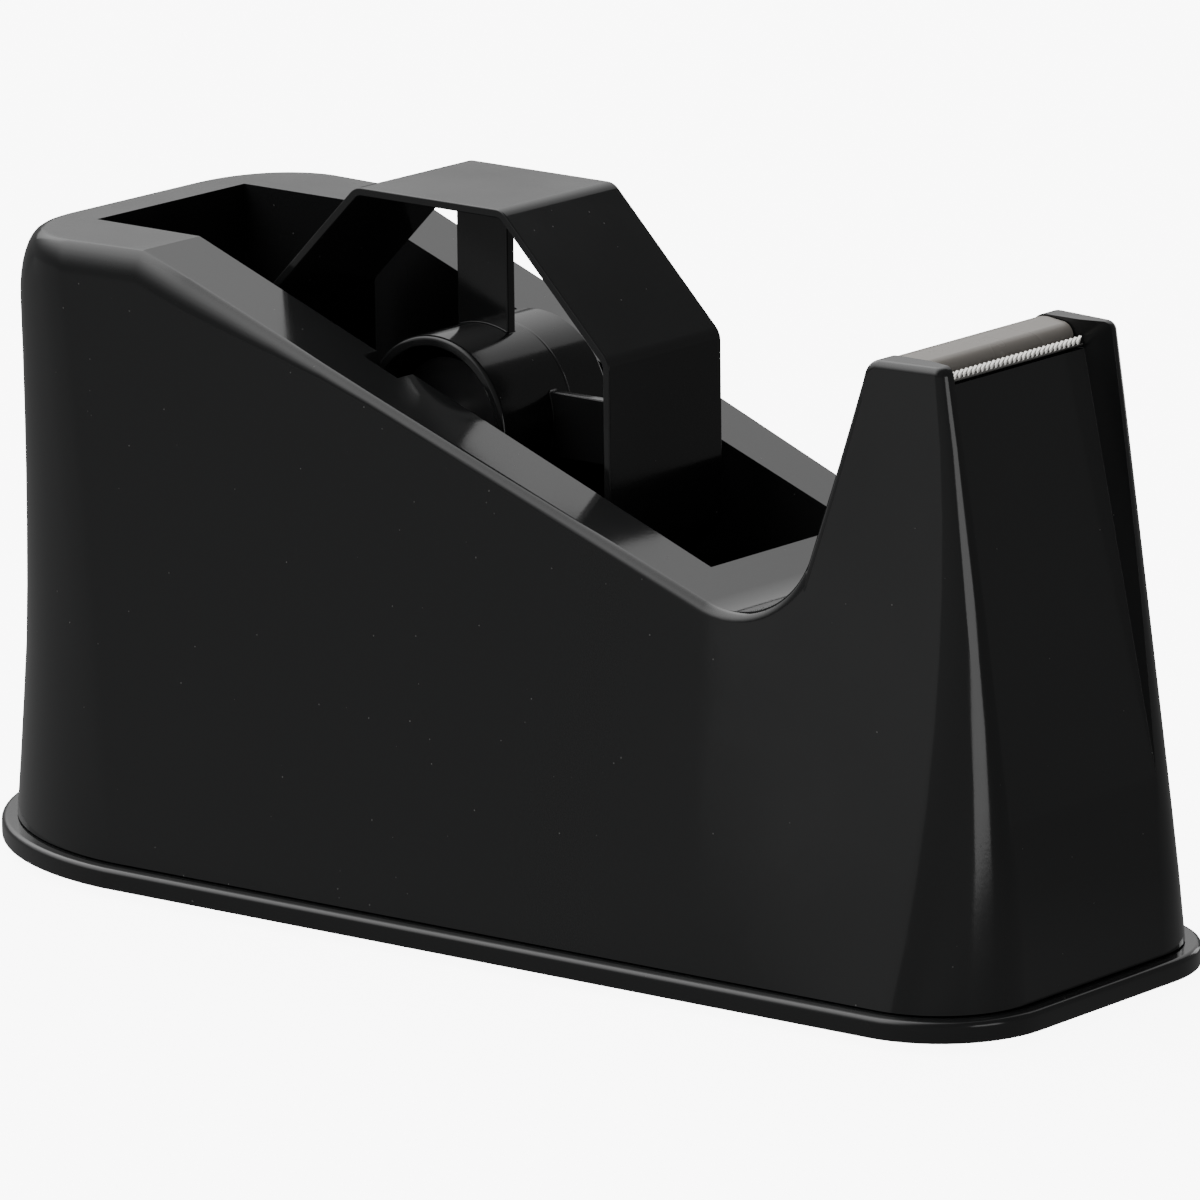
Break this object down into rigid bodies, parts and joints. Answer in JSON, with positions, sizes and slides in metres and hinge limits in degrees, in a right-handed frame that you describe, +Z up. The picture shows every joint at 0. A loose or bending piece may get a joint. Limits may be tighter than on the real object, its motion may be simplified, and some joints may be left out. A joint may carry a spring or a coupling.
{
  "type": "desktop tape dispenser",
  "caption": "Weighted desktop tape dispenser: a sloped open well holds a lift-out octagonal reel for 76 mm cores, and a serrated cutter sits between two cheeks on a leaning neck.",
  "frame": {"origin": "on the surface the dispenser stands on, at the middle of the foot flange's length and width", "axes": "+X towards the cutter, +Y towards the far long side, +Z up"},
  "size_m": [0.2063, 0.0846, 0.1097],
  "materials": {
    "housing_black": "moulded, satin to gloss",
    "cover_black": "moulded, satin",
    "reel_black": "moulded, satin",
    "carrier_black": "moulded, polished nose",
    "blade_steel": "bright stamped strip",
    "axle_steel": "drawn rod",
    "screw_steel": "zinc plated",
    "ballast_iron": "rough cast",
    "foot_rubber": "matt",
    "bush_nylon": "black nylon, satin"
  },
  "bodies": {
    "root": {"housing": "housing_black", "base_plate": "cover_black", "foot_rear_near": "foot_rubber", "foot_rear_far": "foot_rubber", "foot_front_near": "foot_rubber", "foot_front_far": "foot_rubber", "ballast_under_well": "ballast_iron", "ballast_near": "ballast_iron", "ballast_far": "ballast_iron", "ballast_front": "ballast_iron", "blade_carrier": "carrier_black", "blade": "blade_steel", "base_screw_1": "screw_steel", "base_screw_2": "screw_steel", "base_screw_3": "screw_steel", "base_screw_4": "screw_steel", "base_screw_5": "screw_steel", "base_screw_6": "screw_steel", "cap_screw_near": "screw_steel", "cap_screw_far": "screw_steel"},
    "axle": {"axle_pin": "axle_steel"},
    "reel": {"reel": "reel_black", "bush_near": "bush_nylon", "bush_far": "bush_nylon"}
  },
  "joints": [
    {"name": "reel_lift", "type": "slide", "parent": "root", "child": "axle", "axis": [-0.3478, 0, 0.9376], "range_m": [0, 0.08]},
    {"name": "reel_spin", "type": "hinge", "parent": "axle", "child": "reel", "pos_m": [-0.0152, 0, 0.0746], "axis": [0, 1, 0], "continuous": true}
  ]
}
